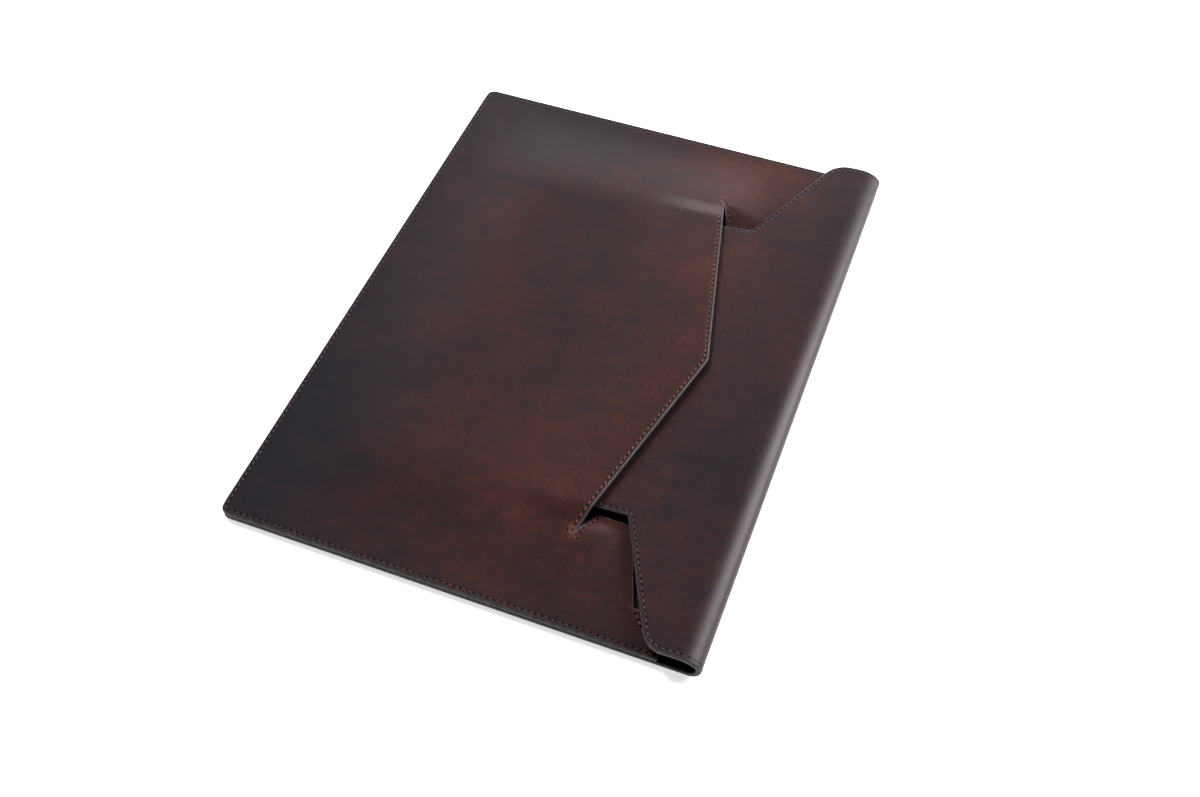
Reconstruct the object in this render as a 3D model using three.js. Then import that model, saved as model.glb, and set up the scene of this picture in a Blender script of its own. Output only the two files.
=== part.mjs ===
// A leather document case, lying closed with its flap tucked in. It is cut from two pieces of thick
// leather: a back panel that runs round a soft fold into the flap, and a front panel sewn to the back
// along the base and both ends. Millimetres, Z up. X runs from the base seam to the nose of the fold,
// Y along the fold from the near end to the far end. The origin is under the middle of the case.
import * as THREE from 'three';

// Leather
const leather = 2.6; // thickness of both pieces
const layerGap = 0.3; // air between two layers that lie on each other

// Whole case
const caseLength = 330; // along the fold
const caseWidth = 248; // from the base seam to the nose of the fold
const baseCornerRadius = 5; // corners at the two ends of the base
const seamWidth = 6; // flat margin where the two pieces are sewn together

// Fold
const foldHeight = 14.8; // outside height of the fold at its crest
const noseShare = 0.51; // height of the nose, as a share of the fold's height
const foldUnderReach = 6.5; // from the nose back to where the fold leaves the table
const crestReach = 12; // from the nose back to the crest, the highest line of the fold
const crestRounding = 5.6; // how slowly the crest passes into the slope of the flap

// Flap
const tongueReach = 94; // from the crest to the hidden end of the tongue
const tongueCornerRadius = 12; // corners of the tongue's hidden end
const shoulderReach = 46.6; // from the crest to the corners where the shoulders begin
const shoulderWidth = 64.6; // from the end of the case in to the tongue's short edges
const shoulderHeadReach = 15; // from the crest to where the shoulder's line meets the end
const flapCornerRadius = 13; // rounding between a shoulder and the end of the case

// Front panel
const slotSetback = 20.4; // from the shoulder corners back to the slots' ends, along X
const slotOverrun = 15.3; // from the tongue's edges out to the slots' ends, along Y
const slotOpening = 1.8; // width of a slot where the tongue's edge passes through it
const mouthDepth = 27.8; // from the slots' ends out to the point of the mouth, along X
const mouthPointRadius = 3; // rounding of that point
const mouthStand = 1.6; // air between the mouth's edge and the tongue under it
const wingClearance = 1.6; // from the tongue's short edge to the wing beside it
const wingCornerRadius = 2; // corner of the wing beside the slot
const wingUnderlap = 3.6; // how far the wing reaches under the shoulder corner
const endStripWidth = 21.5; // leather left at each end of the pocket's opening
const endStripSetback = 9; // from the crest back to where that strip stops
const openingPeek = 2.1; // how far the opening's outer end shows beside the shoulder

// Crown of the front panel
const crownHeight = 4.6; // how far the middle of the front panel stands up from its seams
const crownRun = 65; // distance over which it climbs from the base seam
const crownSideRun = 65; // and from the end seams
const mouthLiftRun = 46; // from the slots' ends back to where the mouth begins to lift
const slotEndLift = 3.8; // lift that is left at the end of a slot
const wingSettleRun = 34; // distance over which a wing settles down beside its slot

// Number of parts into which each stretch is divided
const cornerParts = 4; // a rounded corner
const foldParts = 6; // a quarter turn of the fold
const backParts = 5; // the flat back
const acrossParts = 8; // the back panel and the flap, from end to end
const shoulderCornerParts = 6; // the rounding at the end of a shoulder
const flapParts = 4; // a shoulder, and the tongue beyond it
const seamParts = 2; // the flat margin of the base seam
const crownParts = 6; // the climb from the base seam
const plateauParts = 2; // the even middle of the front panel
const liftParts = 8; // the stretch that lifts towards the mouth
const pointParts = 2; // the rounding of the mouth's point
const mouthParts = 6; // one half of the mouth
const slotParts = 3; // one slot
const wingParts = 5; // a wing
const stripParts = 2; // the strip at the end of the opening

// Leather's look
const leatherColour = 0x3f2a2a;
const leatherRoughness = 0.45;
const leatherMetalness = 0;

// Places along X and Y that both pieces share
const halfLength = caseLength / 2;
const baseX = -caseWidth / 2;
const noseX = caseWidth / 2;
const crestX = noseX - crestReach;
const underX = noseX - foldUnderReach;
const shoulderX = crestX - shoulderReach;
const tongueEndX = crestX - tongueReach;
const tongueHalf = halfLength - shoulderWidth;
const slotX = shoulderX - slotSetback;
const slotHalf = tongueHalf + slotOverrun;
const seamLevel = leather + layerGap;
const tongueEndTop = seamLevel + leather;
const crownStartX = baseX + seamWidth;
const crownEndX = crownStartX + crownRun;
const liftStartX = slotX - mouthLiftRun;
const seamHalf = halfLength - seamWidth;

const lerp = THREE.MathUtils.lerp;
const smooth = (share) => THREE.MathUtils.smoothstep(share, 0, 1);

// How far a straight edge is drawn back at a given distance from a rounded corner.
function cornerInset(distance, radius) {
  if (distance >= radius) {
    return 0;
  }
  return radius - Math.sqrt(radius ** 2 - (radius - distance) ** 2);
}

// Even steps from one value to another, without the last one.
function evenSteps(from, to, count) {
  const steps = [];
  for (let i = 0; i < count; i += 1) {
    steps.push(lerp(from, to, i / count));
  }
  return steps;
}

// Distances from a corner that sample its rounding evenly, from the corner inwards.
function cornerSteps(radius) {
  const angles = [...evenSteps(0, Math.PI / 2, cornerParts), Math.PI / 2];
  return angles.map((angle) => radius * (1 - Math.cos(angle)));
}

// Closed sheet of leather from grids of points. Each point has a place on the inner face and one on
// the outer face. Points that grids share are joined, and every open border gets a wall.
function sheetGeometry(grids) {
  const indexOf = new Map();
  const inner = [];
  const outer = [];
  const keyOf = (point) => [...point.inner, ...point.outer].map((value) => value.toFixed(4)).join();
  function pointIndex(point) {
    const key = keyOf(point);
    if (!indexOf.has(key)) {
      indexOf.set(key, inner.length);
      inner.push(point.inner);
      outer.push(point.outer);
    }
    return indexOf.get(key);
  }
  const faces = [];
  function addFace(a, b, c) {
    if (a !== b && b !== c && c !== a) {
      faces.push([a, b, c]);
    }
  }
  for (const grid of grids) {
    const rows = grid.map((row) => row.map(pointIndex));
    for (let i = 0; i + 1 < rows.length; i += 1) {
      for (let j = 0; j + 1 < rows[i].length; j += 1) {
        addFace(rows[i][j], rows[i + 1][j], rows[i + 1][j + 1]);
        addFace(rows[i][j], rows[i + 1][j + 1], rows[i][j + 1]);
      }
    }
  }
  const sides = new Set();
  for (const [a, b, c] of faces) {
    for (const side of [[a, b], [b, c], [c, a]]) {
      sides.add(side.join());
    }
  }
  const count = inner.length;
  const triangles = [];
  for (const [a, b, c] of faces) {
    triangles.push(a + count, b + count, c + count);
    triangles.push(a, c, b);
  }
  for (const side of sides) {
    const [a, b] = side.split(',').map(Number);
    if (!sides.has([b, a].join())) {
      triangles.push(a, b, b + count);
      triangles.push(a, b + count, a + count);
    }
  }
  const geometry = new THREE.BufferGeometry();
  geometry.setAttribute('position', new THREE.Float32BufferAttribute([...inner, ...outer].flat(), 3));
  geometry.setIndex(triangles);
  geometry.computeVertexNormals();
  return geometry;
}

// Outline of the flap: where a shoulder's line runs, and how wide the flap is at a given X.
const shoulderHeadX = crestX - shoulderHeadReach;
const shoulderAngle = Math.atan2(shoulderWidth, shoulderHeadX - shoulderX);
const cornerTangent = flapCornerRadius * Math.tan(shoulderAngle / 2);
const cornerStartX = shoulderHeadX - cornerTangent * Math.cos(shoulderAngle);
const cornerEndX = shoulderHeadX + cornerTangent;

function shoulderLineX(halfWidth) {
  return shoulderX + (halfWidth - tongueHalf) / Math.tan(shoulderAngle);
}

function flapHalfWidth(x) {
  if (x <= shoulderX) {
    return tongueHalf - cornerInset(x - tongueEndX, tongueCornerRadius);
  }
  if (x <= cornerStartX) {
    return tongueHalf + (x - shoulderX) * Math.tan(shoulderAngle);
  }
  if (x < cornerEndX) {
    const run = cornerEndX - x;
    return halfLength - flapCornerRadius + Math.sqrt(flapCornerRadius ** 2 - run ** 2);
  }
  return halfLength;
}

// Height of the flap's upper face: a rounded crest, then an even slope down to the tongue's end.
function flapTopAt(x) {
  const fall = (run) => Math.hypot(run, crestRounding) - crestRounding;
  return lerp(foldHeight, tongueEndTop, fall(crestX - x) / fall(tongueReach));
}

// Stations along the outer face of the back, the fold and the flap, in the order in which the
// leather runs. Each station gives its X, its height and the half width of the leather there.
function backStations() {
  const quarter = Math.PI / 2;
  const noseHeight = noseShare * foldHeight;
  const base = cornerSteps(baseCornerRadius).map((step) => ({
    x: baseX + step,
    z: 0,
    half: halfLength - cornerInset(step, baseCornerRadius),
  }));
  const back = evenSteps(baseX + baseCornerRadius, underX, backParts).slice(1).map((x) => ({
    x,
    z: 0,
    half: halfLength,
  }));
  const lowerFold = evenSteps(0, quarter, foldParts).map((angle) => ({
    x: underX + foldUnderReach * Math.sin(angle),
    z: noseHeight * (1 - Math.cos(angle)),
    half: halfLength,
  }));
  const upperFold = evenSteps(0, quarter, foldParts).map((angle) => ({
    x: crestX + crestReach * Math.cos(angle),
    z: noseHeight + (foldHeight - noseHeight) * Math.sin(angle),
    half: halfLength,
  }));
  const flapXs = [
    crestX,
    ...evenSteps(cornerEndX, cornerStartX, shoulderCornerParts),
    ...evenSteps(cornerStartX, shoulderX, flapParts),
    ...evenSteps(shoulderX, tongueEndX + tongueCornerRadius, flapParts),
    ...cornerSteps(tongueCornerRadius).map((step) => tongueEndX + step).reverse(),
  ];
  const flap = flapXs.map((x) => ({ x, z: flapTopAt(x), half: flapHalfWidth(x) }));
  return [...base, ...back, ...lowerFold, ...upperFold, ...flap];
}

function backPanelWithFlap() {
  const stations = backStations();
  const inward = stations.map((station, i) => {
    const before = stations[Math.max(i - 1, 0)];
    const after = stations[Math.min(i + 1, stations.length - 1)];
    const length = Math.hypot(after.x - before.x, after.z - before.z);
    return { x: -(after.z - before.z) / length, z: (after.x - before.x) / length };
  });
  const shares = [...evenSteps(-1, 1, acrossParts), 1];
  const grid = shares.map((share) => stations.map((station, i) => {
    const y = share * station.half;
    const innerX = station.x + inward[i].x * leather;
    const innerZ = station.z + inward[i].z * leather;
    return { inner: [innerX, y, innerZ], outer: [station.x, y, station.z] };
  }));
  return sheetGeometry([grid]);
}

// Free side of the front panel: a straight cut from each slot's end to the rounded point.
const mouthSlope = mouthDepth / slotHalf;

function mouthX(y) {
  const rounding = mouthPointRadius * mouthSlope;
  const run = Math.hypot(y, rounding) - rounding;
  const fullRun = Math.hypot(slotHalf, rounding) - rounding;
  return slotX + mouthDepth * (1 - run / fullRun);
}

// Edges of a wing: the side along the slot, and the side under the flap's shoulder.
const wingHalf = tongueHalf + wingClearance;
const openingHalf = halfLength - endStripWidth;
const wingTipX = mouthX(wingHalf) + slotOpening;
const openingStartX = shoulderX + wingUnderlap;
const openingEndX = shoulderLineX(openingHalf) - openingPeek;
const stripEndX = crestX - endStripSetback;

function wingSlotSideX(half) {
  if (half >= slotHalf) {
    return slotX;
  }
  const line = lerp(wingTipX, slotX, (half - wingHalf) / (slotHalf - wingHalf));
  return line + cornerInset(half - wingHalf, wingCornerRadius);
}

function wingOpeningSideX(half) {
  const share = (Math.min(half, openingHalf) - wingHalf) / (openingHalf - wingHalf);
  return lerp(openingStartX, openingEndX, share);
}

// Lift of the front panel above its seams along its free side.
function sideTaper(half) {
  return smooth((halfLength - seamWidth - half) / crownSideRun);
}

function mouthLift(y) {
  const half = Math.abs(y);
  if (half >= slotHalf) {
    return (slotEndLift * sideTaper(half)) / sideTaper(slotHalf);
  }
  const overTongue = flapTopAt(mouthX(y)) + mouthStand - seamLevel;
  const held = tongueHalf + wingClearance / 2;
  return lerp(overTongue, slotEndLift, smooth((half - held) / (slotHalf - held)));
}

// Height of the front panel's lower face above the table.
function frontLevel(x, y) {
  const half = Math.abs(y);
  const endX = half < slotHalf ? mouthX(y) : slotX;
  const crown = crownHeight * sideTaper(half);
  const lifting = smooth((x - liftStartX) / (endX - liftStartX));
  const climb = crown * smooth((x - crownStartX) / crownRun);
  return seamLevel + lerp(climb, mouthLift(y), lifting);
}

function wingLevel(x, y) {
  const half = Math.abs(y);
  const alongSlot = slotEndLift * smooth((half - wingHalf) / (slotHalf - wingHalf));
  const lift = half < slotHalf ? alongSlot : mouthLift(y);
  const settled = smooth((x - wingSlotSideX(half)) / wingSettleRun);
  return seamLevel + lift * (1 - settled);
}

// Distances from the middle at which the front panel's rows lie, from the middle outwards.
const middleHalves = [
  ...evenSteps(0, mouthPointRadius, pointParts),
  ...evenSteps(mouthPointRadius, tongueHalf, mouthParts),
  tongueHalf,
];
const slotHalves = [
  ...cornerSteps(wingCornerRadius).slice(0, -1).map((step) => wingHalf + step),
  ...evenSteps(wingHalf + wingCornerRadius, slotHalf, slotParts),
];
const wingHalves = [...slotHalves, ...evenSteps(slotHalf, openingHalf, wingParts), openingHalf];
const endHalves = [
  ...evenSteps(openingHalf, seamHalf, stripParts),
  seamHalf,
  ...cornerSteps(baseCornerRadius).map((step) => halfLength - step).reverse(),
];

// Part of the front panel: one row for each distance from the middle, on one side of it, and the
// places along that row which the given function lists from the base towards the fold.
function frontGrid(side, halves, placesAt, levelAt) {
  const rows = halves.map((half) => placesAt(half).map((x) => {
    const level = levelAt(x, side * half);
    return { inner: [x, side * half, level], outer: [x, side * half, level + leather] };
  }));
  // The outer face looks up when the rows run towards the near end.
  return side < 0 ? rows : rows.reverse();
}

function mainPlaces(half) {
  const startX = baseX + cornerInset(halfLength - half, baseCornerRadius);
  const endX = half < slotHalf ? mouthX(half) : slotX;
  return [
    ...evenSteps(startX, crownStartX, seamParts),
    ...evenSteps(crownStartX, crownEndX, crownParts),
    ...evenSteps(crownEndX, liftStartX, plateauParts),
    ...evenSteps(liftStartX, endX, liftParts),
    endX,
  ];
}

function wingPlaces(half) {
  const endX = wingOpeningSideX(half);
  return [...evenSteps(wingSlotSideX(half), endX, wingParts), endX];
}

function stripPlaces() {
  return [...evenSteps(openingEndX, stripEndX, stripParts), stripEndX];
}

function frontPanel() {
  const outerHalves = [...wingHalves.slice(0, -1), ...endHalves];
  const allHalves = [...middleHalves, ...outerHalves];
  const grids = [-1, 1].flatMap((side) => [
    frontGrid(side, allHalves, mainPlaces, frontLevel),
    frontGrid(side, outerHalves, wingPlaces, wingLevel),
    frontGrid(side, endHalves, stripPlaces, wingLevel),
  ]);
  return sheetGeometry(grids);
}

function leatherPiece(name, geometry) {
  const material = new THREE.MeshStandardMaterial({
    color: leatherColour,
    roughness: leatherRoughness,
    metalness: leatherMetalness,
  });
  const piece = new THREE.Mesh(geometry, material);
  piece.name = name;
  return piece;
}

const group = new THREE.Group();
group.add(leatherPiece('back_panel_with_flap', backPanelWithFlap()));
group.add(leatherPiece('front_panel', frontPanel()));

export default group;
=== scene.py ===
import math

import bpy
import numpy as np
from mathutils import Matrix, Vector, noise


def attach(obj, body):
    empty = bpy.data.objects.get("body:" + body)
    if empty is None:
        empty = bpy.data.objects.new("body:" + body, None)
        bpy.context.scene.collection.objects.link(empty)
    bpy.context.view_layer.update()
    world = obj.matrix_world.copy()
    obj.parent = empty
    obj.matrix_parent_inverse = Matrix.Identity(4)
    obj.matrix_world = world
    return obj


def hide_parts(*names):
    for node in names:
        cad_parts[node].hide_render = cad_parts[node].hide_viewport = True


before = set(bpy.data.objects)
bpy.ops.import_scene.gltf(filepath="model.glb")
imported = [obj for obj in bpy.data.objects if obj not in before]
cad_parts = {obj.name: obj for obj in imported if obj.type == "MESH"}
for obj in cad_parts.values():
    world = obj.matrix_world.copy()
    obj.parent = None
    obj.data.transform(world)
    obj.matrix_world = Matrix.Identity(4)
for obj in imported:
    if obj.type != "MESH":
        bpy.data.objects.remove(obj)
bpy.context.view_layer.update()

# Camera. A 40 mm lens about 70 cm away looks down on the case from its near end and a little from
# the side of the fold. Lengths in this script are in millimetres until a mesh or a place is made.
MILLIMETRE = 0.001
view_azimuth = math.radians(21.892)
view_elevation = math.radians(53.19)
view_roll = math.radians(-1.216)
view_distance = 703.4
view_target = Vector((25.0, -32.5, 0.0))

towards_camera = Vector((
    math.sin(view_azimuth) * math.cos(view_elevation),
    -math.cos(view_azimuth) * math.cos(view_elevation),
    math.sin(view_elevation),
))
level_right = (-towards_camera).cross(Vector((0, 0, 1))).normalized()
level_up = level_right.cross(-towards_camera)
right = math.cos(view_roll) * level_right + math.sin(view_roll) * level_up
up = math.cos(view_roll) * level_up - math.sin(view_roll) * level_right
camera = bpy.data.objects.new("camera", bpy.data.cameras.new("camera"))
bpy.context.scene.collection.objects.link(camera)
camera.data.lens = 40.48
camera.data.sensor_width = 36
camera.data.clip_start = 0.01
camera.matrix_world = Matrix.Translation(
    (view_target + towards_camera * view_distance) * MILLIMETRE
) @ Matrix((right, up, towards_camera)).transposed().to_4x4()
bpy.context.scene.camera = camera

# Back panel with flap. One piece of thick vegetable tanned leather, waxed and dyed by hand, oxblood
# over black. It lies on the table, turns back over itself in a soft fold and ends in a tongue.
leather = 2.6  # thickness
layer_gap = 0.3  # between layers that lie on each other
half_length = 165.0
base_x = -124.0
nose_x = 124.0
base_corner_radius = 5.0
fold_height = 14.8
nose_share = 0.51  # of the fold's height, where it stands out furthest
crest_reach = 12.0  # from the nose of the fold back to its crest
fold_under_reach = 6.5  # from the nose back to where the leather meets the table
crest_rounding = 5.6
tongue_reach = 94.0  # this reach and the next ones start at the crest
shoulder_reach = 46.6
shoulder_head_reach = 15.0
shoulder_width = 64.6
tongue_corner_radius = 12.0
flap_corner_radius = 13.0
shoulder_softness = 0.4  # rounding of the corner between the short edge and the shoulder
nose_height = nose_share * fold_height
crest_x = nose_x - crest_reach
under_x = nose_x - fold_under_reach
tongue_end_x = crest_x - tongue_reach
shoulder_x = crest_x - shoulder_reach
shoulder_head_x = crest_x - shoulder_head_reach
tongue_half = half_length - shoulder_width
seam_level = leather + layer_gap
tongue_end_top = seam_level + leather

shoulder_angle = math.atan2(half_length - tongue_half, shoulder_head_x - shoulder_x)
corner_tangent = flap_corner_radius * math.tan(shoulder_angle / 2)
corner_start_x = shoulder_head_x - corner_tangent * math.cos(shoulder_angle)
corner_end_x = shoulder_head_x + corner_tangent


def corner_inset(distance, radius):
    """How far a straight edge is drawn back at a given distance from a rounded corner."""
    if distance >= radius:
        return 0.0
    return radius - math.sqrt(radius**2 - (radius - distance) ** 2)


def flap_half_width(x):
    """Half of the flap's width, along the tongue, the slanting shoulder and its rounded corner."""
    if x <= shoulder_x - 3 * shoulder_softness:
        return tongue_half - corner_inset(x - tongue_end_x, tongue_corner_radius)
    if x <= corner_start_x:
        run = x - shoulder_x
        softened = (run + math.hypot(run, shoulder_softness)) / 2
        return tongue_half + softened * math.tan(shoulder_angle)
    if x < corner_end_x:
        run = corner_end_x - x
        return half_length - flap_corner_radius + math.sqrt(flap_corner_radius**2 - run**2)
    return half_length


def flap_top(x):
    """Height of the flap's upper face: a rounded crest, then an even slope to the tongue's end."""
    def fall(run):
        return math.hypot(run, crest_rounding) - crest_rounding
    share = fall(crest_x - x) / fall(crest_x - tongue_end_x)
    return fold_height + (tongue_end_top - fold_height) * share


def spaced(start, end, step):
    """Even places from start to end, about a step apart, without the last one."""
    count = max(1, round(abs(end - start) / step))
    return [start + (end - start) * i / count for i in range(count)]


def around(radius, count):
    """Distances from a corner that follow its rounding evenly."""
    return [radius * (1 - math.cos(math.pi / 2 * i / count)) for i in range(count)]


corner_runs = (0.0, 1.2, 2.1, 3.3)  # rows across a corner, clear of the rounded rim


def back_stations():
    """X, height and half width at places along the outer face, from the base to the tongue."""
    stations = [
        (base_x + run, 0.0, half_length - corner_inset(run, base_corner_radius))
        for run in corner_runs
    ]
    stations += [(x, 0.0, half_length) for x in spaced(base_x + base_corner_radius, under_x, 5.0)]
    for angle in spaced(0, math.pi / 2, 0.12):
        x = under_x + (nose_x - under_x) * math.sin(angle)
        stations.append((x, nose_height * (1 - math.cos(angle)), half_length))
    for angle in spaced(0, math.pi / 2, 0.1):
        x = crest_x + (nose_x - crest_x) * math.cos(angle)
        rise = (fold_height - nose_height) * math.sin(angle)
        stations.append((x, nose_height + rise, half_length))
    close_run = 4.0  # on each side of the shoulder's corner the places lie closer
    flap_xs = [crest_x - 0.6]
    flap_xs += [corner_end_x - run for run in around(corner_end_x - corner_start_x, 14)]
    flap_xs += spaced(corner_start_x, shoulder_x + close_run, 1.8)
    flap_xs += spaced(shoulder_x + close_run, shoulder_x - close_run, 0.5)
    flap_xs += spaced(shoulder_x - close_run, tongue_end_x + tongue_corner_radius, 2.0)
    flap_xs += [tongue_end_x + run for run in (9.0, 6.0, 3.0, 1.2, 0.0)]
    return stations + [(x, flap_top(x), flap_half_width(x)) for x in flap_xs]


def across_places(step, edge_steps):
    """Shares of the half width from one end to the other, closer together towards the ends."""
    inner = spaced(0, 1, step)
    half = inner + [1 - (1 - inner[-1]) * share for share in edge_steps]
    return [-share for share in half[:0:-1]] + half


def along(points):
    """Running length at each point of a line."""
    steps = np.hypot(*np.diff(points, axis=0).T)
    return np.concatenate([[0.0], np.cumsum(steps)])


def nearest_on_line(places, line):
    """For each place the running length of a line's nearest point and the distance to its left."""
    runs = along(line)
    best = np.full(len(places), np.inf)
    best_run = np.zeros(len(places))
    for i in range(len(line) - 1):
        start, side = line[i], line[i + 1] - line[i]
        length = np.hypot(*side)
        if length < 1e-6:
            continue
        share = np.clip((places - start) @ side / length**2, 0, 1)
        off = places - start
        distance = np.hypot(*(off - share[:, None] * side).T)
        distance = np.where(side[0] * off[:, 1] < side[1] * off[:, 0], -distance, distance)
        closer = np.abs(distance) < np.abs(best)
        best[closer] = distance[closer]
        best_run[closer] = runs[i] + share[closer] * length
    return best_run, best


def drawn_in(line, distance):
    """A line moved to its left by a distance."""
    ahead = np.diff(line, axis=0)
    ahead /= np.hypot(*ahead.T)[:, None]
    turn = np.vstack([ahead[:1], ahead[:-1] + ahead[1:], ahead[-1:]])
    turn /= np.hypot(*turn.T)[:, None]
    return line + distance * np.column_stack([-turn[:, 1], turn[:, 0]])


# Patches where the colour comes out redder (above zero) or nearer black (below zero), in plan.
# Most are the dye's own unevenness; some darken it as painted shade that tones down a sheen,
# as in the middle of the far end.
dye_and_shade_patches = np.array([
    # x, y, reach along x, reach along y, amount
    (62, 36, 36, 80, 0.26),
    (20, -110, 75, 60, 0.20),
    (5, -40, 30, 40, -0.08),
    (-30, -20, 70, 60, 0.06),
    (95, -20, 26, 90, -0.08),
    (-112, -128, 52, 62, -0.34),
    (-118, 20, 34, 120, -0.24),
    (-75, 150, 60, 40, -0.20),
    (54, 148, 46, 30, 0.47),
    (-30, 150, 50, 24, -0.12),
    (112, 138, 20, 40, -0.20),
    (58, 80, 16, 30, 0.07),
    (62, -128, 26, 18, 0.08),
    (-20, 40, 26, 30, -0.10),
    (96, -60, 22, 50, -0.22),
    (92, 20, 24, 40, -0.04),
    (86, 100, 28, 50, 0.05),
    (88, -130, 20, 22, -0.05),
])


# The patches summed at each place: the dye's unevenness and painted shade together.
def dye_and_shade_at(places):
    shade = np.zeros(len(places))
    for x, y, reach_x, reach_y, amount in dye_and_shade_patches:
        off = ((places[:, 0] - x) / reach_x) ** 2 + ((places[:, 1] - y) / reach_y) ** 2
        shade += amount * np.exp(-off)
    return shade


stitch_inset = 2.2  # from a cut edge in to the line of stitches
stitch_pitch = 3.45


def stitch_turns(run, line):
    """Running length counted in stitches. Each hole lies half way between two whole counts."""
    total = along(line)[-1]
    return run / total * round(total / stitch_pitch)


stations = back_stations()
outer_line = np.array([(x, z) for x, z, half in stations])
unrolled = along(outer_line)
half_widths = np.array([half for x, z, half in stations])
cut_line = np.vstack([
    np.column_stack([unrolled, -half_widths]),
    np.column_stack([unrolled, half_widths])[::-1],
    [(unrolled[0], -half_widths[0])],
])
# The stitches go round the whole piece and start where the tongue's end is out of sight.
half_turn = len(stations)
loop = np.vstack([
    [(unrolled[-1], 0.0)],
    cut_line[half_turn:-1],
    cut_line[:half_turn],
    [(unrolled[-1], 0.0)],
])
back_stitch_line = drawn_in(loop, stitch_inset)


def sheet_mesh(name, grids, attributes):
    """Skin of one face of the leather from grids of points. Points that grids share are joined."""
    index_of, places, values, faces = {}, [], [], []
    for grid in grids:
        rows = []
        for row in grid:
            numbers = []
            for point, extra in row:
                key = tuple(round(value, 3) for value in point)  # to a thousandth of a millimetre
                if key not in index_of:
                    index_of[key] = len(places)
                    places.append(point)
                    values.append(extra)
                numbers.append(index_of[key])
            rows.append(numbers)
        for low, high in zip(rows, rows[1:]):
            for i in range(len(low) - 1):
                corners = []
                for corner in (low[i], high[i], high[i + 1], low[i + 1]):
                    if corner not in corners:
                        corners.append(corner)
                if len(corners) > 2:
                    faces.append(corners)
    mesh = bpy.data.meshes.new(name)
    mesh.from_pydata((np.array(places) * MILLIMETRE).tolist(), [], faces)
    for column, attribute in enumerate(attributes):
        layer = mesh.attributes.new(attribute, "FLOAT", "POINT")
        layer.data.foreach_set("value", np.array(values, np.float32)[:, column])
    mesh.shade_smooth()
    piece = bpy.data.objects.new(name, mesh)
    bpy.context.scene.collection.objects.link(piece)
    return piece


rim_rounding = 0.9  # radius of the rubbed rim on each side of a cut edge


def cut_thick(piece, grain, cut_edge, flesh, rim):
    """Gives a skin the leather's thickness on its inner side and rounds its edges."""
    for material in (grain, cut_edge, flesh, rim):
        piece.data.materials.append(material)
    solid = piece.modifiers.new("thickness", "SOLIDIFY")
    solid.thickness = leather * MILLIMETRE
    solid.offset = -1
    solid.use_even_offset = True
    solid.material_offset_rim = 1  # the cut edge
    solid.material_offset = 2  # the flesh side
    rounding = piece.modifiers.new("rounded edges", "BEVEL")
    rounding.width = rim_rounding * MILLIMETRE
    rounding.segments = 4
    rounding.material = 3  # the rim
    rounding.limit_method = "ANGLE"
    rounding.angle_limit = math.radians(60)
    rounding.use_clamp_overlap = False
    bpy.context.view_layer.objects.active = piece
    for modifier in ("thickness", "rounded edges"):
        bpy.ops.object.modifier_apply(modifier=modifier)
    piece.data.shade_smooth()
    piece.data.set_sharp_from_angle(angle=math.radians(50))


class Tone:
    """A socket of a material, which Python's signs and the methods below take further."""

    def __init__(self, tree, socket=None):
        self.tree = tree
        self.socket = socket

    def node(self, kind, settings=None, sockets=None, output=0):
        """A new node. Its settings are made first, because some of them change its sockets."""
        made = self.tree.nodes.new(kind)
        for name, value in (settings or {}).items():
            if name == "stops":
                ramp = made.color_ramp
                for i, (place, colour) in enumerate(value):
                    stop = ramp.elements[i] if i < 2 else ramp.elements.new(place)
                    stop.position = place
                    stop.color = (*colour, 1)
            else:
                setattr(made, name, value)
        for name, value in (sockets or {}).items():
            if isinstance(value, Tone):
                self.tree.links.new(value.socket, made.inputs[name])
            else:
                made.inputs[name].default_value = value
        return Tone(self.tree, made.outputs[output])

    def sum(self, operation, first, second=0.0):
        return self.node("ShaderNodeMath", {"operation": operation}, {0: first, 1: second})

    def __add__(self, other):
        return self.sum("ADD", self, other)

    def __sub__(self, other):
        return self.sum("SUBTRACT", self, other)

    def __rsub__(self, other):
        return self.sum("SUBTRACT", other, self)

    def __mul__(self, other):
        return self.sum("MULTIPLY", self, other)

    __radd__ = __add__
    __rmul__ = __mul__

    def reading(self, attribute):
        """What the mesh says at this place."""
        return self.node("ShaderNodeAttribute", {"attribute_name": attribute}, output=2)

    def between(self, low, high):
        """0 below low, 1 above high and smooth between them."""
        settings = {"interpolation_type": "SMOOTHSTEP"}
        return self.node("ShaderNodeMapRange", settings, {"Value": self, 1: low, 2: high})

    def cloud(self, size, detail=3.0, stretch=(1, 1, 1), distortion=0.0):
        """Soft noise whose patches are about size millimetres across."""
        place = self.node("ShaderNodeTexCoord", output=3)
        factors = {0: place, 1: stretch}
        drawn = place.node("ShaderNodeVectorMath", {"operation": "MULTIPLY"}, factors)
        return drawn.node("ShaderNodeTexNoise", None, {
            "Vector": drawn,
            "Scale": 1 / (size * MILLIMETRE),
            "Detail": detail,
            "Distortion": distortion,
        })

    def dyed(self, other, share):
        """This colour with a share of another one over it."""
        settings = {"data_type": "RGBA"}
        return self.node("ShaderNodeMix", settings, {0: share, 6: self, 7: other}, 2)


worn_rim_colour = (0.12, 0.085, 0.09, 1)
halo_colour = (0.050, 0.015, 0.012, 1)  # where the dye wears thin round slots and tacks
rubbed_colour = (0.13, 0.040, 0.026, 1)
groove_colour = (0.045, 0.017, 0.014, 1)
# Stitch holes are painted near black as the shade inside them.
hole_shade_colour = (0.0015, 0.0012, 0.0012, 1)
hole_rim = (0.5, 0.8)  # from a hole's centre, where its painted black shade starts and ends to fade
groove_rim = (0.3, 0.9)  # from a line of stitches, where its pressed groove runs out
relief_depth = 0.05
pore_spacing = 1.1


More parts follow.
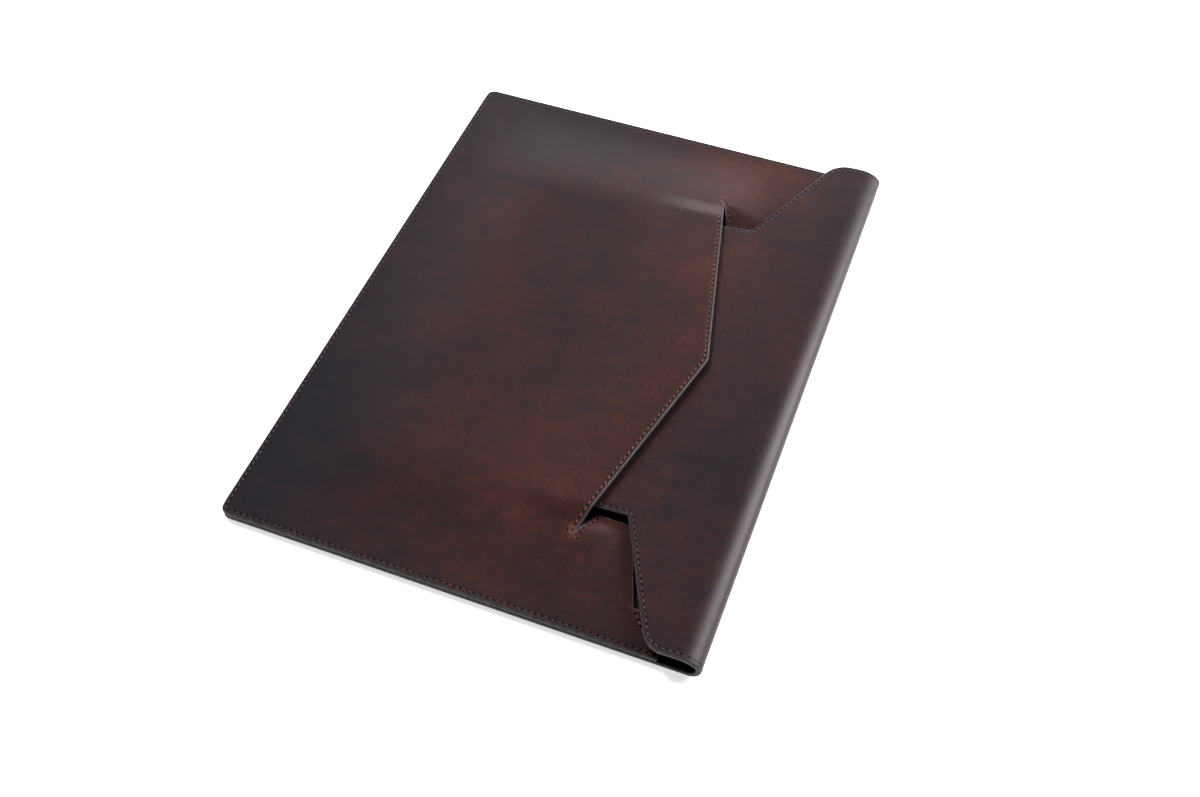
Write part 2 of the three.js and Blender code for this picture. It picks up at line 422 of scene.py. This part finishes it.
def leather_material(name, stops, tacked):
    """Waxed grain side. Stops are the dye's colours from black to red, as linear light."""
    material = bpy.data.materials.new(name)
    material.use_nodes = True
    shader = material.node_tree.nodes["Principled BSDF"]
    shade = Tone(material.node_tree)
    # The dye's mottling, from broad patches down to specks, each with its share.
    patches = shade.cloud(62, 4, (1, 0.7, 1), 0.5)
    blotches = shade.cloud(17, 4, (1, 1, 1), 0.3)
    streaks = shade.cloud(7, 3, (0.35, 1, 1))
    mottle = shade.cloud(3.4, 2)
    specks = shade.cloud(1.2, 2)
    # The mesh's attribute brings in the patches in plan, dye and painted shade alike.
    dye_and_shade = shade.reading("dye_and_shade") + patches * 0.55 + blotches * 0.48 + streaks * 0.42
    dye_and_shade = dye_and_shade + mottle * 0.6 + specks * 0.6 - 0.86
    edge = shade.reading("edge")
    burnish = 1 - edge.between(0.6, 7.0)  # a darkened border along the cut edges
    dye_and_shade = dye_and_shade - burnish * 0.16
    colour = dye_and_shade.node("ShaderNodeValToRGB", {"stops": stops}, {0: dye_and_shade})
    worn = (1 - edge.between(0.1, 1.1)) * shade.cloud(9, 3).between(0.35, 0.65)
    colour = colour.dyed(worn_rim_colour, worn * 0.35)
    halo = shade.reading("wear")
    colour = colour.dyed(halo_colour, halo.between(0.0, 0.5) * 0.5)
    rubbed = halo.between(0.45, 1.0) * shade.cloud(2.2, 3).between(0.38, 0.66)
    colour = colour.dyed(rubbed_colour, rubbed * 0.8)
    pores = shade.node("ShaderNodeTexVoronoi", None, {
        "Vector": shade.node("ShaderNodeTexCoord", output=3),
        "Scale": 1 / (pore_spacing * MILLIMETRE),
    })
    height = shade.cloud(0.8, 3) * 0.5 + pores.between(0.0, 0.35) * 0.35 + shade.cloud(5, 2) * 1.2
    for row in ("seam", "tack") if tacked else ("seam",):
        reach = (shade.sum("FRACT", shade.reading(row + "_run")) - 0.5) * stitch_pitch
        off = shade.reading(row + "_off")
        reach = shade.sum("SQRT", reach * reach + off * off)
        hole = 1 - reach.between(*hole_rim)
        groove = 1 - shade.sum("ABSOLUTE", off).between(*groove_rim)
        colour = colour.dyed(groove_colour, groove * 0.5)
        # Each hole is painted black as its shade, and sunk by the relief.
        colour = colour.dyed(hole_shade_colour, hole)
        height = height - hole * 9.0 - groove * 1.5
    bump = shade.node("ShaderNodeBump", None, {
        "Strength": 0.7,
        "Distance": relief_depth * MILLIMETRE,
        "Height": height,
    })
    gloss = 0.335 + shade.cloud(21, 4) * 0.08 + specks * 0.1 - 0.02
    tree = material.node_tree
    tree.links.new(colour.socket, shader.inputs["Base Color"])
    tree.links.new(gloss.socket, shader.inputs["Roughness"])
    tree.links.new(bump.socket, shader.inputs["Normal"])
    shader.inputs["Specular IOR Level"].default_value = 0.3
    shader.inputs["Specular Tint"].default_value = (1.0, 0.92, 0.99, 1)
    return material


def plain_leather(name, colour, deep, size, roughness, specular, bump_height, painted_rim_highlight=None):
    """Leather or thread of one colour that varies a little, with a fine relief."""
    material = bpy.data.materials.new(name)
    material.use_nodes = True
    shader = material.node_tree.nodes["Principled BSDF"]
    shade = Tone(material.node_tree)
    base = shade.node("ShaderNodeMix", {"data_type": "RGBA"}, {
        0: shade.cloud(size, 4).between(0.3, 0.7),
        6: (*deep, 1),
        7: (*colour, 1),
    }, 2)
    # A lighter, greyer painted highlight along the rim, where the mesh's attribute asks for it.
    if painted_rim_highlight:
        base = base.dyed((*painted_rim_highlight, 1), shade.reading("painted_rim_highlight"))
    bump = shade.node("ShaderNodeBump", None, {
        "Strength": 0.6,
        "Distance": bump_height * MILLIMETRE,
        "Height": shade.cloud(size / 3, 3),
    })
    gloss = roughness + shade.cloud(size * 2, 3) * 0.12
    tree = material.node_tree
    tree.links.new(base.socket, shader.inputs["Base Color"])
    tree.links.new(gloss.socket, shader.inputs["Roughness"])
    tree.links.new(bump.socket, shader.inputs["Normal"])
    shader.inputs["Specular IOR Level"].default_value = specular
    return material


back_dye = [
    (0.0, (0.0080, 0.0082, 0.0120)),
    (0.32, (0.0140, 0.0096, 0.0118)),
    (0.55, (0.0225, 0.0104, 0.0116)),
    (0.78, (0.0325, 0.0122, 0.0114)),
    (1.0, (0.0480, 0.0158, 0.0128)),
]
back_grain = leather_material("back_grain", back_dye, False)
edge_paint = plain_leather(
    "edge_paint", (0.028, 0.029, 0.028), (0.013, 0.0135, 0.013),
    size=3.0, roughness=0.45, specular=0.2, bump_height=0.12)
# The rounded rim is rubbed brown; at the mouth and the slots it takes a painted highlight.
rubbed_rim_with_painted_highlight = plain_leather(
    "rubbed_rim_with_painted_highlight", (0.056, 0.046, 0.050), (0.028, 0.024, 0.027),
    size=3.0, roughness=0.42, specular=0.3, bump_height=0.12, painted_rim_highlight=(0.10, 0.076, 0.078))
# Dark brown flesh side, darker still as painted shade inside the fold and behind the slots.
flesh_side_with_painted_shade = plain_leather(
    "flesh_side_with_painted_shade", (0.016, 0.010, 0.009), (0.008, 0.006, 0.005),
    size=1.5, roughness=0.85, specular=0.15, bump_height=0.12)


def back_panel():
    """Skin of the back and flap, whose places are known both unrolled and in plan."""
    shares = across_places(0.022, (0.8, 0.55, 0.0))
    flat = np.array([
        (unrolled[i], share * half_widths[i]) for share in shares for i in range(len(stations))
    ])
    plan = np.array([
        (stations[i][0], share * half_widths[i]) for share in shares for i in range(len(stations))
    ])
    edge = np.abs(nearest_on_line(flat, cut_line)[1])
    run, off = nearest_on_line(flat, back_stitch_line)
    turns = stitch_turns(run, back_stitch_line)
    dye_and_shade = dye_and_shade_at(plan)
    rows = []
    for row in range(len(shares)):
        points = []
        for i, (x, z, half) in enumerate(stations):
            n = row * len(stations) + i
            points.append(((x, flat[n, 1], z), (dye_and_shade[n], edge[n], turns[n], off[n], 0.0)))
        rows.append(points)
    return sheet_mesh(
        "leather_back_and_flap", [rows], ("dye_and_shade", "edge", "seam_run", "seam_off", "wear"))


back = back_panel()
cut_thick(back, back_grain, edge_paint, flesh_side_with_painted_shade, rubbed_rim_with_painted_highlight)
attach(back, "root")
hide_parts("back_panel_with_flap")

# Front panel. One piece of the same leather, sewn to the back along the base and both ends. Its
# free side is cut to a shallow point, with a slot at each end for the tongue and a wing beyond
# each slot. The wing lies under the flap's shoulder.
seam_width = 6.0
slot_setback = 20.4  # from the shoulder's corner back to the slot's end
slot_overrun = 15.3  # from the tongue's edge out to the slot's end
slot_opening = 1.8
mouth_depth = 27.8
mouth_point_radius = 3.0
mouth_stand = 1.6  # air between the mouth's edge and the tongue
wing_clearance = 1.6
wing_corner_radius = 2.0
wing_underlap = 3.6
end_strip_width = 21.5
end_strip_setback = 9.0
opening_peek = 2.1  # how far the opening shows beside the shoulder
crown_height = 4.6
crown_run = 65.0
crown_side_run = 65.0
mouth_lift_run = 46.0
slot_end_lift = 3.8
wing_settle_run = 34.0
slack = 0.45  # how far the free middle of the panel waves up and down
slack_wave = (55, 75)  # length of the waves along X and Y
slack_margin = 40  # the waves die out over this run
seam_half = half_length - seam_width
slot_x = shoulder_x - slot_setback
slot_half = tongue_half + slot_overrun
mouth_rounding = mouth_point_radius * mouth_depth / slot_half
wing_half = tongue_half + wing_clearance
opening_half = half_length - end_strip_width
opening_start_x = shoulder_x + wing_underlap
strip_end_x = crest_x - end_strip_setback
crown_start_x = base_x + seam_width
crown_end_x = crown_start_x + crown_run
lift_start_x = slot_x - mouth_lift_run


def smooth(share):
    share = min(max(share, 0.0), 1.0)
    return share * share * (3 - 2 * share)


def mouth_x(y):
    run = math.hypot(y, mouth_rounding) - mouth_rounding
    full_run = math.hypot(slot_half, mouth_rounding) - mouth_rounding
    return slot_x + mouth_depth * (1 - run / full_run)


def shoulder_line_x(half):
    return shoulder_x + (half - tongue_half) / math.tan(shoulder_angle)


wing_tip_x = mouth_x(wing_half) + slot_opening
opening_end_x = shoulder_line_x(opening_half) - opening_peek


def wing_slot_side_x(half):
    if half >= slot_half:
        return slot_x
    share = (half - wing_half) / (slot_half - wing_half)
    line = wing_tip_x + (slot_x - wing_tip_x) * share
    return line + corner_inset(half - wing_half, wing_corner_radius)


def wing_opening_side_x(half):
    share = (min(half, opening_half) - wing_half) / (opening_half - wing_half)
    return opening_start_x + (opening_end_x - opening_start_x) * share


def side_taper(half):
    return smooth((seam_half - half) / crown_side_run)


def mouth_lift(half):
    if half >= slot_half:
        return slot_end_lift * side_taper(half) / side_taper(slot_half)
    over_tongue = flap_top(mouth_x(half)) + mouth_stand - seam_level
    held = (tongue_half + wing_half) / 2
    return over_tongue + (slot_end_lift - over_tongue) * smooth((half - held) / (slot_half - held))


def front_top(x, y):
    """Height of the front panel's upper face."""
    half = abs(y)
    end_x = mouth_x(half) if half < slot_half else slot_x
    lifting = smooth((x - lift_start_x) / (end_x - lift_start_x))
    climbing = smooth((x - crown_start_x) / (crown_end_x - crown_start_x))
    climb = crown_height * side_taper(half) * climbing
    wave = noise.noise(Vector((x / slack_wave[0], y / slack_wave[1], 3.7))) * slack
    free = smooth((x - crown_start_x) / slack_margin) * smooth((seam_half - half) / slack_margin)
    free *= 1 - lifting
    return seam_level + leather + climb + (mouth_lift(half) - climb) * lifting + wave * free


def wing_top(x, y):
    half = abs(y)
    along_slot = slot_end_lift * smooth((half - wing_half) / (slot_half - wing_half))
    lift = along_slot if half < slot_half else mouth_lift(half)
    settled = smooth((x - wing_slot_side_x(half)) / wing_settle_run)
    return seam_level + leather + lift * (1 - settled)


mouth_halves = spaced(0, slot_half, 1.6) + [slot_half]
mouth_cut = np.array([(mouth_x(half), -half) for half in mouth_halves[::-1]]
                     + [(mouth_x(half), half) for half in mouth_halves[1:]])
near_cut = [(strip_end_x, -half_length), (base_x + base_corner_radius, -half_length)]
near_cut += [
    (base_x + run, corner_inset(run, base_corner_radius) - half_length)
    for run in around(base_corner_radius, 8)[::-1]
]
outer_cut = np.array(near_cut + [(x, -y) for x, y in near_cut[::-1]])
outer_stitch_line = drawn_in(outer_cut, -stitch_inset)
mouth_stitch_line = drawn_in(mouth_cut, stitch_inset)
slot_side = [
    (wing_slot_side_x(half), half) for half in (slot_half + 3.0, slot_half, wing_half + 1.0)
]
wing_stitch_line = drawn_in(np.array(slot_side), stitch_inset)
# Bar tacks, one across the slot's end and one beyond the opening's end.
tack_holes = 3
tack_lines = [np.array([(39.1, 116.8), (48.2, 121.1)]), np.array([(85.2, 144.9), (91.6, 152.9)])]

# Places of the rows on the way up to the mouth and across a wing, as shares of the whole way. They
# lie closer together towards a cut edge.
mouth_shares = (0, .07, .14, .21, .28, .35, .42, .49, .56, .62, .68, .74, .79, .84,
                .88, .92, .95, .972, 1)
wing_shares = (0, .065, .13, .19, .26, .34, .42, .51, .6, .7, .8, .9, 1)


def main_xs(half):
    start = base_x + corner_inset(half_length - half, base_corner_radius)
    end = mouth_x(half) if half < slot_half else slot_x
    xs = [start + (crown_start_x - start) * share for share in (0, 0.25, 0.5, 0.75)]
    xs += spaced(crown_start_x, crown_end_x, 3.5) + spaced(crown_end_x, lift_start_x, 4.5)
    return xs + [lift_start_x + (end - lift_start_x) * share for share in mouth_shares]


def wing_xs(half):
    start, end = wing_slot_side_x(half), wing_opening_side_x(half)
    return [start + (end - start) * share for share in wing_shares]


def strip_xs(half):
    return spaced(opening_end_x, strip_end_x, 2.0) + [strip_end_x]


far_off = 100.0  # stands for a line that isn't near


def front_parts():
    """Grids of points of the main panel, a wing and a strip beside the opening, for each end."""
    middle = spaced(0, 3.0, 0.75) + spaced(3.0, tongue_half, 3.2) + [tongue_half]
    slot = [wing_half, wing_half + 1.2]
    slot += spaced(wing_half + wing_corner_radius, slot_half, 1.5)
    wing = slot + spaced(slot_half, opening_half, 2.6)
    strip = spaced(opening_half, half_length - base_corner_radius, 2.6)
    strip += [half_length - run for run in corner_runs[::-1]]
    parts = []
    for side in (-1, 1):
        for halves, xs_at, top in (
            (middle + wing + strip, main_xs, front_top),
            (wing + strip, wing_xs, wing_top),
            (strip, strip_xs, wing_top),
        ):
            rows = [[(x, side * half, top(x, side * half)) for x in xs_at(half)] for half in halves]
            parts.append(rows[::-1] if side > 0 else rows)
    return parts


def front_seam(places, mirrored, is_main):
    """Stitch count and signed distance of the nearest line of stitches, for each place."""
    outer_run, outer_off = nearest_on_line(places, outer_stitch_line)
    mouth_run, mouth_off = nearest_on_line(places, mouth_stitch_line)
    wing_run, wing_off = nearest_on_line(mirrored, wing_stitch_line)
    mouth_off[~is_main] = far_off
    on_mouth = np.abs(mouth_off) < np.abs(outer_off)
    on_wing = ~is_main & (np.abs(wing_off) < 4)
    turns = stitch_turns(outer_run, outer_stitch_line)
    turns = np.where(on_mouth, stitch_turns(mouth_run, mouth_stitch_line), turns)
    turns = np.where(on_wing, stitch_turns(wing_run, wing_stitch_line), turns)
    return turns, np.where(on_wing, wing_off, np.where(on_mouth, mouth_off, outer_off))


def front_tacks(mirrored):
    """Stitch count and signed distance of the nearest bar tack, far off where there is none."""
    turns, offs = np.zeros(len(mirrored)), np.full(len(mirrored), far_off)
    for start, end in tack_lines:
        length = np.hypot(*(end - start))
        ahead = (end - start) / length
        run = (mirrored - start) @ ahead / length * tack_holes
        across = ahead[0] * (mirrored - start)[:, 1] - ahead[1] * (mirrored - start)[:, 0]
        beside = (np.abs(across) < 4) & (run > -0.5) & (run < tack_holes + 0.5)
        turns = np.where(beside, run, turns)
        offs = np.where(beside, across, offs)
    return turns, offs


def front_wear_and_highlight(places, mirrored, is_main):
    """Distance from a cut edge, wear and painted highlight on the rim, for each place."""
    xs, halves = mirrored.T
    mouth_edge = np.abs(nearest_on_line(places, mouth_cut)[1])
    outer_edge = np.abs(nearest_on_line(places, outer_cut)[1])
    edge = np.minimum(outer_edge, np.where(is_main, mouth_edge, far_off))
    # The dye is rubbed off round the end of the slot and round the opening's end.
    at_slot = np.hypot((xs - slot_x + 0.8) / 1.1, (halves - slot_half - 1.5) / 1.3)
    at_opening = np.hypot(xs - opening_end_x, halves - opening_half)
    wear = np.clip(1.2 - at_slot / 4.6, 0, 1) + np.clip(0.9 - at_opening / 5, 0, 1)
    # A fainter worn line follows the mouth's stitches.
    at_mouth = is_main & (mouth_edge < 6)
    wear += np.where(at_mouth, np.clip(1.2 - np.abs(mouth_edge - 2.7) / 1.7, 0, 1), 0) * 0.4
    # Painted highlight on the wing's rim beside each slot, and a faint one on the mouth's rim.
    beside_slot = np.array([
        wing_half <= half < slot_half and abs(x - wing_slot_side_x(half)) < 0.5
        for x, half in mirrored
    ])
    return edge, np.clip(wear, 0, 1), np.where(is_main, at_mouth * 0.2, beside_slot)


def front_panel():
    """Skin of the front panel with its wings."""
    parts = front_parts()
    places = np.array([point[:2] for rows in parts for row in rows for point in row])
    mirrored = np.column_stack([places[:, 0], np.abs(places[:, 1])])
    # The main panel is the first of the three grids of each end.
    is_main = np.array([
        k % 3 == 0 for k, rows in enumerate(parts) for row in rows for point in row
    ])
    turns, off = front_seam(places, mirrored, is_main)
    tack_turns, tack_off = front_tacks(mirrored)
    edge, wear, painted_rim_highlight = front_wear_and_highlight(places, mirrored, is_main)
    columns = [dye_and_shade_at(places), edge, turns, off, tack_turns, tack_off, wear, painted_rim_highlight]
    extras = iter(np.column_stack(columns).tolist())
    grids = [[[(point, next(extras)) for point in row] for row in rows] for rows in parts]
    return sheet_mesh("leather_front", grids, (
        "dye_and_shade", "edge", "seam_run", "seam_off", "tack_run", "tack_off", "wear", "painted_rim_highlight"))


front_dye = [
    (0.0, (0.0080, 0.0082, 0.0115)),
    (0.32, (0.0150, 0.0096, 0.0110)),
    (0.55, (0.0250, 0.0104, 0.0108)),
    (0.78, (0.0365, 0.0124, 0.0104)),
    (1.0, (0.0530, 0.0165, 0.0122)),
]
front_grain = leather_material("front_grain", front_dye, True)
front = front_panel()
cut_thick(front, front_grain, edge_paint, flesh_side_with_painted_shade, rubbed_rim_with_painted_highlight)
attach(front, "root")
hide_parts("front_panel")

# Saddle stitches and bar tacks. Waxed thread runs from hole to hole, a little aslant, round the
# whole edge of the back and flap, through both panels at the base and the ends, along the mouth
# and along each wing. Bar tacks of two stitches secure the ends of the slots and openings.
thread_radius = 0.21
thread_taper = 0.65  # share of the radius that is left where a stitch enters its hole
thread_slant = 0.16  # how far each end of a stitch lies to one side of the line
thread_rise = 0.10  # how far the middle of a stitch stands above the leather
thread_sink = 0.34  # how far its ends dip into their holes
thread_sides = 6
stitch_shares = (0.0, 0.14, 0.32, 0.5, 0.68, 0.86, 1.0)  # places along one stitch


def direction_at(line, runs, run, step):
    """Direction in which a line leads at a running length, measured over a step each way."""
    before, after = [
        np.array([np.interp(run + way * step, runs, line[:, k]) for k in (0, 1)])
        for way in (-1, 1)
    ]
    return (after - before) / max(np.hypot(*(after - before)), 1e-6)


def stitch_centres(line, runs, start, end, surface, slant):
    """Centres along one stitch, which arches over the leather and dips into its holes."""
    centres = []
    for share in stitch_shares:
        run = start + (end - start) * share
        x = np.interp(run, runs, line[:, 0])
        y = np.interp(run, runs, line[:, 1])
        ahead = direction_at(line, runs, run, 0.4)
        lean = slant * (2 * share - 1)
        arch = math.sin(math.pi * share)
        rise = thread_rise * arch**0.7 - thread_sink * (1 - arch)
        centres.append(surface(x - ahead[1] * lean, y + ahead[0] * lean, rise))
    return np.array(centres)


def stitches(name, line, surface, material, slant=thread_slant, end_gap=0.72):
    """One short thread between each two holes along a line, laid on a surface."""
    runs = along(line)
    count = round(runs[-1] / stitch_pitch)
    pitch = runs[-1] / count
    places, faces = [], []
    for k in range(count - 1):
        start = (k + 0.5) * pitch + end_gap
        end = (k + 1.5) * pitch - end_gap
        centres = stitch_centres(line, runs, start, end, surface, slant)
        last = len(centres) - 1
        rings = []
        for i, centre in enumerate(centres):
            ahead = centres[min(i + 1, last)] - centres[max(i - 1, 0)]
            ahead /= np.linalg.norm(ahead)
            side = np.cross(ahead, surface.normal)
            side /= np.linalg.norm(side)
            over = np.cross(side, ahead)
            radius = thread_radius * (thread_taper if i in (0, last) else 1.0)
            rings.append(len(places))
            for j in range(thread_sides):
                angle = 2 * math.pi * j / thread_sides
                places.append(centre + radius * (math.cos(angle) * side + math.sin(angle) * over))
        for low, high in zip(rings, rings[1:]):
            for j in range(thread_sides):
                turn = (j + 1) % thread_sides
                faces.append((low + j, low + turn, high + turn, high + j))
        faces.append(tuple(rings[0] + j for j in range(thread_sides))[::-1])
        faces.append(tuple(rings[-1] + j for j in range(thread_sides)))
    mesh = bpy.data.meshes.new(name)
    mesh.from_pydata((np.array(places) * MILLIMETRE).tolist(), [], faces)
    mesh.validate()
    mesh.shade_smooth()
    mesh.materials.append(material)
    thread = bpy.data.objects.new(name, mesh)
    bpy.context.scene.collection.objects.link(thread)
    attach(thread, "root")


class OnBack:
    """Places on the outer face of the back and flap, from their place in the unrolled leather."""

    normal = np.array([0.0, 0.0, 1.0])

    def __call__(self, u, y, rise):
        x = np.interp(u, unrolled, outer_line[:, 0])
        z = np.interp(u, unrolled, outer_line[:, 1])
        run = direction_at(outer_line, unrolled, u, 0.5)
        self.normal = np.array([run[1], 0.0, -run[0]])
        if z < 0.5:
            rise = min(rise, 0.0)  # the case's weight presses the stitches below it flush
        return np.array([x + run[1] * rise, y, z - run[0] * rise])


class OnFront:
    """Places on the upper face of the front panel."""

    normal = np.array([0.0, 0.0, 1.0])

    def __call__(self, x, y, rise):
        top = front_top if x < slot_x or abs(y) < slot_half and x < mouth_x(y) else wing_top
        return np.array([x, y, top(x, y) + rise])


brown_thread = plain_leather(
    "brown_thread", (0.078, 0.048, 0.047), (0.030, 0.018, 0.018),
    size=1.2, roughness=0.42, specular=0.6, bump_height=0.1)
tan_thread = plain_leather(
    "tan_thread", (0.24, 0.12, 0.088), (0.12, 0.052, 0.038),
    size=1.6, roughness=0.5, specular=0.4, bump_height=0.1)
stitches("thread_round_back_and_flap", back_stitch_line, OnBack(), brown_thread)
stitches("thread_of_outer_seam", outer_stitch_line, OnFront(), brown_thread)
stitches("thread_along_mouth", mouth_stitch_line, OnFront(), tan_thread, 0.28, 0.75)
for end, side in (("near", -1), ("far", 1)):
    stitches(f"thread_along_{end}_wing", wing_stitch_line * (1, side), OnFront(), brown_thread)
    stitches(f"bar_tack_of_{end}_slot", tack_lines[0] * (1, side), OnFront(), tan_thread, 0.1)
    stitches(f"bar_tack_of_{end}_opening", tack_lines[1] * (1, side), OnFront(), tan_thread, 0.1)

# Table and light. A plain white table top. One tall soft light stands behind the case on the side
# of the fold and one wide low light behind its far end. A third one, on the side of the base, only
# brightens.
table_reach = 4.0  # metres from the middle to each side
table_corners = [
    (x * table_reach, y * table_reach, 0) for x, y in ((-1, -1), (1, -1), (1, 1), (-1, 1))
]
table_mesh = bpy.data.meshes.new("table")
table_mesh.from_pydata(table_corners, [], [(0, 1, 2, 3)])
table = bpy.data.objects.new("table", table_mesh)
table.location.z = -0.25 * MILLIMETRE  # just clear of the lowest stitches
bpy.context.scene.collection.objects.link(table)
table_top = bpy.data.materials.new("table_top")
table_top.use_nodes = True
table_shader = table_top.node_tree.nodes["Principled BSDF"]
table_shader.inputs["Base Color"].default_value = (0.92, 0.92, 0.92, 1)
table_shader.inputs["Roughness"].default_value = 0.9
table_shader.inputs["Specular IOR Level"].default_value = 0.1
table_shader.inputs["Emission Color"].default_value = (1, 1, 1, 1)
table_shader.inputs["Emission Strength"].default_value = 0.65
table_mesh.materials.append(table_top)


def soft_light(name, azimuth, elevation, distance, width, height, power):
    """A soft box in metres and watts that faces the case, with its azimuth from +X towards +Y."""
    azimuth, elevation = math.radians(azimuth), math.radians(elevation)
    place = distance * Vector((
        math.cos(azimuth) * math.cos(elevation),
        math.sin(azimuth) * math.cos(elevation),
        math.sin(elevation),
    ))
    lamp = bpy.data.lights.new(name, "AREA")
    lamp.shape = "RECTANGLE"
    lamp.size = width
    lamp.size_y = height
    lamp.energy = power
    light = bpy.data.objects.new(name, lamp)
    light.location = place
    light.rotation_euler = place.to_track_quat("Z", "Y").to_euler()
    bpy.context.scene.collection.objects.link(light)
    return light


soft_light("window", azimuth=33, elevation=27, distance=1.8, width=0.8, height=1.3, power=44)
soft_light("rear", azimuth=98, elevation=18, distance=2.2, width=3.5, height=0.8, power=26)
overhead = soft_light(
    "overhead", azimuth=145, elevation=52, distance=1.9, width=0.8, height=0.8, power=60)
overhead.visible_glossy = False  # it only brightens, and leaves no reflection of its own
world = bpy.data.worlds.new("surround")
world.use_nodes = True
world.node_tree.nodes["Background"].inputs["Color"].default_value = (1, 1, 1, 1)
world.node_tree.nodes["Background"].inputs["Strength"].default_value = 0.1
bpy.context.scene.world = world
bpy.context.scene.view_settings.view_transform = "Standard"
